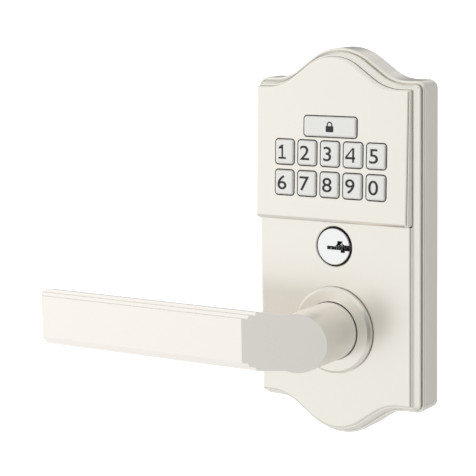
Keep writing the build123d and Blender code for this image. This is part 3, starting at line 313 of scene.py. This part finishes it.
# A black rubber seal, made near black so that it also stands for the shade in the gap round the plug.
SEAL_RUBBER_AND_SHADE = Finish("seal_rubber", (0.012, 0.012, 0.013), 0.0, 0.70, mottle=0.3, depth=10 * MICRON)
SILICONE = Finish("silicone", (0.66, 0.68, 0.68), 0.0, 0.50, mottle=0.08, depth=10 * MICRON)
FOAM = Finish("closed_cell_foam", (0.035, 0.035, 0.036), 0.0, 0.92, Grain.FOAM, mottle=0.4,
              depth=200 * MICRON)
INK = Finish("digit_ink", (0.022, 0.020, 0.020), 0.0, 0.50, mottle=0.15, depth=3 * MICRON)
BOARD = Finish("board_green", (0.03, 0.17, 0.08), 0.0, 0.30, mottle=0.35, coat=0.4)


@dataclass
class Dresser:
    """Builds each finish once and puts it on CAD nodes and new pieces."""

    made: dict[str, bpy.types.Material] = field(default_factory=dict)

    def material(self, finish: Finish) -> bpy.types.Material:
        """The material of a finish, made the first time it's asked for.

        Args:
            finish: The finish.

        Returns:
            Its material.
        """
        if finish.name not in self.made:
            self.made[finish.name] = finish.build()
        return self.made[finish.name]

    def dress(self, finish: Finish, *pieces: object) -> None:
        """Give a finish to nodes, by name, and to pieces.

        Args:
            finish: The finish.
            pieces: Node names or objects.
        """
        for piece in pieces:
            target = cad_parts[piece] if isinstance(piece, str) else piece
            target.data.materials.clear()
            target.data.materials.append(self.material(finish))


def mesh_piece(name: str, form: bmesh.types.BMesh, body: str,
               smooth: bool = True) -> bpy.types.Object:
    """Turn a bmesh into a piece that rides on a body.

    Args:
        name: The piece's name.
        form: The shape, in metres in the lock's frame; freed here.
        body: The body it rides on.
        smooth: Whether its faces are shaded smooth.

    Returns:
        The new object.
    """
    mesh = bpy.data.meshes.new(name)
    bmesh.ops.recalc_face_normals(form, faces=form.faces)
    for face in form.faces:
        face.smooth = smooth
    form.to_mesh(mesh)
    form.free()
    piece = bpy.data.objects.new(name, mesh)
    bpy.context.scene.collection.objects.link(piece)
    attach(piece, body)
    return piece


# ---- keypad --------------------------------------------------------------------------

@dataclass
class Keypad:
    """The raised panel with its digit keys."""

    dresser: Dresser
    digit_height: float = 5.8 * MM
    digit_stretch: float = 1.2
    stroke: float = 0.75 * MM
    thickening: float = 0.005
    ink_thickness: float = 0.05 * MM
    ink_sunk: float = 0.1
    left_shift: float = 0.9 * MM
    probe_start: float = 10 * MM
    text_resolution: int = 10
    one_foot: float = 1.75 * MM
    one_flag_low: float = 1.75 * MM
    one_flag_high: float = 1.1 * MM
    one_flag_root: float = 1.55 * MM
    one_flag_tip: float = 0.6
    four_left: float = 2.3 * MM
    four_right: float = 2.2 * MM
    four_stem: float = 0.9 * MM
    four_bar_rise: float = 1.3 * MM
    four_boldness: float = 1.15
    four_slope_drop: float = 0.7 * MM
    mark_height: float = 4.2 * MM
    mark_body: float = 0.42
    mark_shackle: float = 0.30
    mark_corner: float = 0.35 * MM
    mark_wire: float = 0.5 * MM
    mark_gap: float = 0.02 * MM

    def build(self) -> None:
        """Dress the panel and caps, and print the digits."""
        self.dresser.dress(PANEL_NICKEL, "keypad_panel")
        own_shapes = {1: self.one_outline, 4: self.four_outline}
        for number in range(10):
            node = f"key_{number}"
            self.dresser.dress(KEY_SILVER, node)
            flat = own_shapes[number]() if number in own_shapes else self.digit_outline(str(number))
            self.print_on(node, f"digit_{number}", flat, self.left_shift)
        self.dresser.dress(KEY_SILVER, "wake_key")
        self.print_on("wake_key", "padlock_mark", self.padlock_outline(), 0.0)
        log.info("keypad built")

    def digit_outline(self, digit: str) -> bmesh.types.BMesh:
        """A digit's shape, flat in XY, as tall as the sizes say.

        Args:
            digit: The character.

        Returns:
            The shape, extruded by the ink's thickness and centred.
        """
        curve = bpy.data.curves.new(f"digit_{digit}", "FONT")
        curve.body = digit
        curve.offset = self.thickening
        curve.resolution_u = self.text_resolution
        curve.extrude = 0.5  # one unit thick, so that the ink's thickness is the scale along Z
        text = bpy.data.objects.new(f"digit_text_{digit}", curve)
        bpy.context.scene.collection.objects.link(text)
        bpy.context.view_layer.update()
        mesh = text.evaluated_get(bpy.context.evaluated_depsgraph_get()).to_mesh()
        form = bmesh.new()
        form.from_mesh(mesh)
        bpy.data.objects.remove(text)
        low, high = corners(form)
        scale = self.digit_height / (high.y - low.y)
        shrink = Vector((scale * self.digit_stretch, scale, self.ink_thickness))
        form.transform(Matrix.Diagonal((*shrink, 1.0)) @ Matrix.Translation(-(low + high) / 2))
        return form

    def one_outline(self) -> bmesh.types.BMesh:
        """The digit one, with a flag at its top and a bar under its foot.

        Returns:
            The shape, centred, as thick as the ink.
        """
        half, stem, foot = self.digit_height / 2, self.stroke / 2, self.one_foot
        foot_top = -half + self.stroke
        right = [(stem, half), (stem, foot_top), (foot, foot_top), (foot, -half)]
        left = [(-foot, -half), (-foot, foot_top), (-stem, foot_top), (-stem, half - self.one_flag_root),
                (-foot, half - self.one_flag_low), (-foot, half - self.one_flag_high),
                (-stem * self.one_flag_tip, half)]
        return extruded([right + left], self.ink_thickness)

    def four_outline(self) -> bmesh.types.BMesh:
        """The digit four, open between its slope, its bar and its stem.

        Returns:
            The shape, centred, as thick as the ink.
        """
        half, thick = self.digit_height / 2, self.four_boldness * self.stroke
        left, right, stem = -self.four_left, self.four_right, self.four_stem
        low = -half + self.four_bar_rise
        high = low + thick
        bar = [(left, low), (right, low), (right, high), (left, high)]
        upright = [(stem, -half), (stem + thick, -half), (stem + thick, half), (stem, half)]
        slope = [(left, high), (left + self.four_boldness * thick, high), (stem, half - self.four_slope_drop),
                 (stem, half)]
        return extruded([bar, upright, slope], self.ink_thickness)

    def padlock_outline(self) -> bmesh.types.BMesh:
        """A small plain padlock: a body and a round shackle.

        Returns:
            The shape, centred, as thick as the ink.
        """
        half = self.mark_height / 2
        body_half = self.mark_body * self.mark_height
        body_top = half - body_half
        body = rounded_rectangle(body_half, -half, body_top, self.mark_corner)
        outer = self.mark_shackle * self.mark_height
        inner = outer - self.mark_wire
        turn = [math.pi * step / ARCH_STEPS for step in range(ARCH_STEPS + 1)]
        rise = half - outer
        arch = [(outer * math.cos(angle), rise + outer * math.sin(angle)) for angle in turn]
        hollow = [(inner * math.cos(angle), rise + inner * math.sin(angle)) for angle in reversed(turn)]
        base = body_top + self.mark_gap
        shackle = [(outer, base), *arch, (-outer, base), (-inner, base), *hollow, (inner, base)]
        return extruded([body, shackle], self.ink_thickness)

    def print_on(self, node: str, name: str, form: bmesh.types.BMesh, left: float) -> bpy.types.Object:
        """Print a flat shape on a key's front face.

        Args:
            node: The key's node.
            name: The print's name.
            form: The shape, centred in XY.
            left: How far to the left of the key's middle it sits.

        Returns:
            The print.
        """
        low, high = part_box(node)
        start = Vector(((low.x + high.x) / 2 - left, low.y - self.probe_start, (low.z + high.z) / 2))
        _, spot, normal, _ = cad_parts[node].ray_cast(start, Vector((0, 1, 0)))
        right = Vector((1, 0, 0))
        axes = Matrix((right, normal.cross(right), normal)).transposed().to_4x4()
        rise = self.ink_thickness * (0.5 - self.ink_sunk)
        form.transform(Matrix.Translation(spot + normal * rise) @ axes)
        piece = mesh_piece(name, form, f"{node}_cap", smooth=False)
        self.dresser.dress(INK, piece)
        return piece


def corners(form: bmesh.types.BMesh) -> tuple[Vector, Vector]:
    """A shape's lowest and highest corners."""
    spots = [vertex.co for vertex in form.verts]
    return (Vector([min(spot[axis] for spot in spots) for axis in range(3)]),
            Vector([max(spot[axis] for spot in spots) for axis in range(3)]))


def rounded_rectangle(half: float, low: float, high: float, radius: float) -> list[tuple[float, float]]:
    """Points round a rectangle with round corners, centred on X, from low to high in Y.

    Args:
        half: Half its width.
        low: Its lowest Y.
        high: Its highest Y.
        radius: The corners' radius.

    Returns:
        The points, in order.
    """
    points = []
    for quarter, (side, middle) in enumerate(((1, high), (-1, high), (-1, low), (1, low))):
        centre = (side * (half - radius), middle - radius if middle == high else middle + radius)
        for step in range(CORNER_STEPS + 1):
            angle = math.radians(90 * (quarter + step / CORNER_STEPS))
            points.append((centre[0] + radius * math.cos(angle), centre[1] + radius * math.sin(angle)))
    return points


def extruded(outlines: list[list[tuple[float, float]]], thickness: float) -> bmesh.types.BMesh:
    """Raise closed outlines into thin solids centred on Z.

    Args:
        outlines: Each a list of points in XY.
        thickness: The height.

    Returns:
        The solids, as one mesh.
    """
    form = bmesh.new()
    for outline in outlines:
        face = form.faces.new([form.verts.new((x, y, -thickness / 2)) for x, y in outline])
        raised = bmesh.ops.extrude_face_region(form, geom=[face])
        moved = [item for item in raised["geom"] if isinstance(item, bmesh.types.BMVert)]
        bmesh.ops.translate(form, verts=moved, vec=(0, 0, thickness))
    return form


# ---- the other sub-assemblies ----------------------------------------------------------

@dataclass
class Escutcheon:
    """The cast plate, its collar and what fixes it to the door."""

    dresser: Dresser

    def build(self) -> None:
        """Dress the plate and its fixings."""
        self.dresser.dress(SATIN_NICKEL, "escutcheon_housing", "rose_collar")
        self.dresser.dress(ZINC, "mounting_plate", "mounting_post_left", "mounting_post_right")
        self.dresser.dress(SCREW, "plate_screws", "panel_screws")
        self.dresser.dress(FOAM, "foam_gasket")
        log.info("escutcheon dressed")


@dataclass
class LeverSet:
    """The lever with its hub, spring and spindle."""

    dresser: Dresser

    def build(self) -> None:
        """Dress the lever and the hub."""
        self.dresser.dress(LEVER_NICKEL, "lever_handle")
        self.dresser.dress(ZINC, "lever_sleeve", "latch_spindle", "clutch_driver")
        self.dresser.dress(SCREW, "lever_set_screw", "hub_washer", "clutch_dog")
        self.dresser.dress(SPRING, "hub_circlip", "lever_return_spring")
        self.dresser.dress(NYLON, "hub_bushing")
        log.info("lever dressed")


@dataclass
class KeyCylinder:
    """The override cylinder."""

    dresser: Dresser

    def build(self) -> None:
        """Dress the plug, body and cam."""
        self.dresser.dress(CHROME, "cylinder_plug")
        # The body, wafers and seal are near black, as painted shade in the gap and keyway round the plug.
        self.dresser.dress(PAINTED_SHADE_ALLOY, "cylinder_body")
        self.dresser.dress(PAINTED_SHADE_STEEL, "plug_wafers")
        self.dresser.dress(SEAL_RUBBER_AND_SHADE, "cylinder_seal")
        self.dresser.dress(ZINC, "cylinder_cam")
        self.dresser.dress(SCREW, "cylinder_screws", "cam_screw")
        log.info("cylinder dressed")


@dataclass
class Mechanism:
    """The motor, clutch slide and keypad electronics."""

    dresser: Dresser

    def build(self) -> None:
        """Dress the inner pieces."""
        self.dresser.dress(BLACK_PLASTIC, "clutch_slide", "clutch_guide", "buzzer")
        self.dresser.dress(SPRING, "clutch_spring", "dome_switches")
        self.dresser.dress(ZINC, "clutch_motor", "motor_bracket")
        self.dresser.dress(SCREW, "motor_shaft", "guide_screws", "motor_screws", "board_screws")
        self.dresser.dress(BRASS, "motor_pinion")
        self.dresser.dress(SILICONE, "keypad_membrane")
        self.dresser.dress(BOARD, "circuit_board")
        self.dresser.dress(CHIP, "controller_chip")
        self.dresser.dress(LED, "backlight_leds")
        self.dresser.dress(NYLON, "cable_socket")
        log.info("mechanism dressed")


# ---- studio ------------------------------------------------------------------------------

@dataclass
class Studio:
    """Pale floor, soft light and the camera.

    Angles are in degrees, lengths in metres, the lens and its sensor in millimetres, lamp_spread in
    radians and lamp_power in watts per square metre.
    """

    azimuth: float = 33.0
    elevation: float = 9.09
    roll: float = -0.94
    distance: float = 748.4 * MM
    aim: tuple[float, float] = (-57.95 * MM, 30.98 * MM)
    focal_length: float = 131.08
    sensor: float = 36.0
    floor_z: float = -0.16
    floor_width: float = 30.0
    paper_cells: Rgb = (60.0, 60.0, 60.0)
    paper_roughness: float = 0.9
    paper_dark: Rgb = (0.93, 0.93, 0.93)
    paper_light: Rgb = (0.95, 0.95, 0.95)
    lamp_place: Rgb = (-0.6, 1.2, 2.6)
    lamp_spread: float = 1.2
    lamp_power: float = 2.6
    round_the_room: tuple[tuple[float, float], ...] = (
        (-180, 0.42), (-165, 0.85), (-146, 1.0), (-80, 1.0), (-42, 1.10), (-27, 0.98), (-10, 0.80),
        (4, 0.66), (30, 0.62), (50, 0.55), (61, 0.36), (67, 0.02), (86, 0.02), (92, 0.70), (99, 1.04),
        (118, 0.97), (142, 0.63), (158, 0.47), (180, 0.42))
    ceiling_rise: tuple[float, float] = (0.34, 0.80)
    ceiling_level: float = 0.86
    ground_rise: tuple[float, float] = (-0.62, -0.30)
    ground_level: float = 0.75
    behind_left_shade: float = 0.68
    behind_rise: tuple[float, float] = (-0.01, 0.05)
    behind_north: tuple[float, float] = (0.25, 0.65)
    behind_west: tuple[float, float] = (0.15, 0.45)
    light_color: tuple[float, float, float, float] = (1.0, 0.995, 0.985, 1.0)

    def build(self) -> None:
        """Set up everything that isn't the object."""
        self.add_floor()
        self.add_sky()
        self.add_overhead("overhead_light")
        self.add_camera()
        bpy.context.scene.view_settings.view_transform = "Standard"
        log.info("studio ready")

    def add_floor(self) -> None:
        """A wide pale floor well below the lock."""
        bpy.ops.mesh.primitive_plane_add(size=self.floor_width, location=(0, 0, self.floor_z))
        floor = bpy.context.object
        floor.name = "floor"
        shader = Shader("floor_paper")
        speck = shader.noise(self.paper_cells, CLOUD_DETAIL)
        shader.feed("Base Color", shader.tint(speck, self.paper_dark, self.paper_light))
        shader.surface.inputs["Roughness"].default_value = self.paper_roughness
        floor.data.materials.append(shader.material)
        floor.visible_glossy = False

    def add_sky(self) -> None:
        """A pale room, brightest on the left, dimmer on the camera's side and straight behind.

        round_the_room holds pairs of degrees, from the front towards the right, and a brightness, with one
        near-black strip on the right. A ceiling and a ground take over above and below, and a low strip
        behind on the left is shaded.
        """
        world = bpy.data.worlds.new("studio")
        bpy.context.scene.world = world
        graph = Graph(world)
        where = graph.node("ShaderNodeTexCoord", {}, {}, "Generated")
        split = graph.node("ShaderNodeSeparateXYZ", {}, {0: where})
        east, north, rise = (Signal(graph, split.socket.node.outputs[axis]) for axis in range(3))
        turn = graph.node("ShaderNodeMath", {"operation": "ARCTAN2"}, {0: east, 1: north * -1.0})
        stops = [((angle + 180) / 360, level) for angle, level in self.round_the_room]
        band = graph.node("ShaderNodeValToRGB", {"stops": stops}, {0: turn * (0.5 / math.pi) + 0.5})
        lifted = graph.between(rise, *self.ceiling_rise)
        lowered = graph.between(rise, *self.ground_rise)
        upper = lifted * (self.ceiling_level - band) + band
        behind_left = graph.between(north, *self.behind_north) * graph.between(east * -1.0, *self.behind_west)
        low_strip = graph.between(rise, *self.behind_rise) * (1.0 - lifted)
        shaded = upper * (1.0 - behind_left * low_strip * self.behind_left_shade)
        light = lowered * (shaded - self.ground_level) + self.ground_level
        background = graph.tree.nodes["Background"]
        background.inputs["Color"].default_value = self.light_color
        graph.tree.links.new(light.socket, background.inputs["Strength"])

    def add_overhead(self, name: str) -> None:
        """One wide soft light from far away, kept out of reflections.

        Args:
            name: The light's name.
        """
        light = bpy.data.lights.new(name, "SUN")
        light.angle = self.lamp_spread
        light.energy = self.lamp_power
        lamp = bpy.data.objects.new(name, light)
        lamp.location = self.lamp_place
        lamp.visible_glossy = False
        lamp.rotation_euler = (-Vector(self.lamp_place)).to_track_quat("-Z", "Y").to_euler()
        bpy.context.scene.collection.objects.link(lamp)

    def add_camera(self) -> None:
        """The camera, right of the lock and a little above it."""
        turn, tilt, lean = (math.radians(angle) for angle in (self.azimuth, self.elevation, self.roll))
        view = Vector((-math.sin(turn) * math.cos(tilt), math.cos(turn) * math.cos(tilt), -math.sin(tilt)))
        right = Vector((math.cos(turn), math.sin(turn), 0))
        up = right.cross(view)
        right_leant = right * math.cos(lean) + up * math.sin(lean)
        up_leant = up * math.cos(lean) - right * math.sin(lean)
        data = bpy.data.cameras.new("camera")
        data.sensor_width = self.sensor
        data.lens = self.focal_length
        camera = bpy.data.objects.new("camera", data)
        place = Vector((self.aim[0], 0, self.aim[1])) - view * self.distance
        axes = Matrix((right_leant, up_leant, -view)).transposed()
        camera.matrix_world = Matrix.Translation(place) @ axes.to_4x4()
        bpy.context.scene.collection.objects.link(camera)
        bpy.context.scene.camera = camera


def main() -> None:
    """Build the looks of the lock."""
    logging.basicConfig(level=logging.INFO)
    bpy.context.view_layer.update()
    dresser = Dresser()
    for assembly in (Escutcheon, Keypad, LeverSet, KeyCylinder, Mechanism):
        assembly(dresser).build()
    Studio().build()


if __name__ == "__main__":
    main()
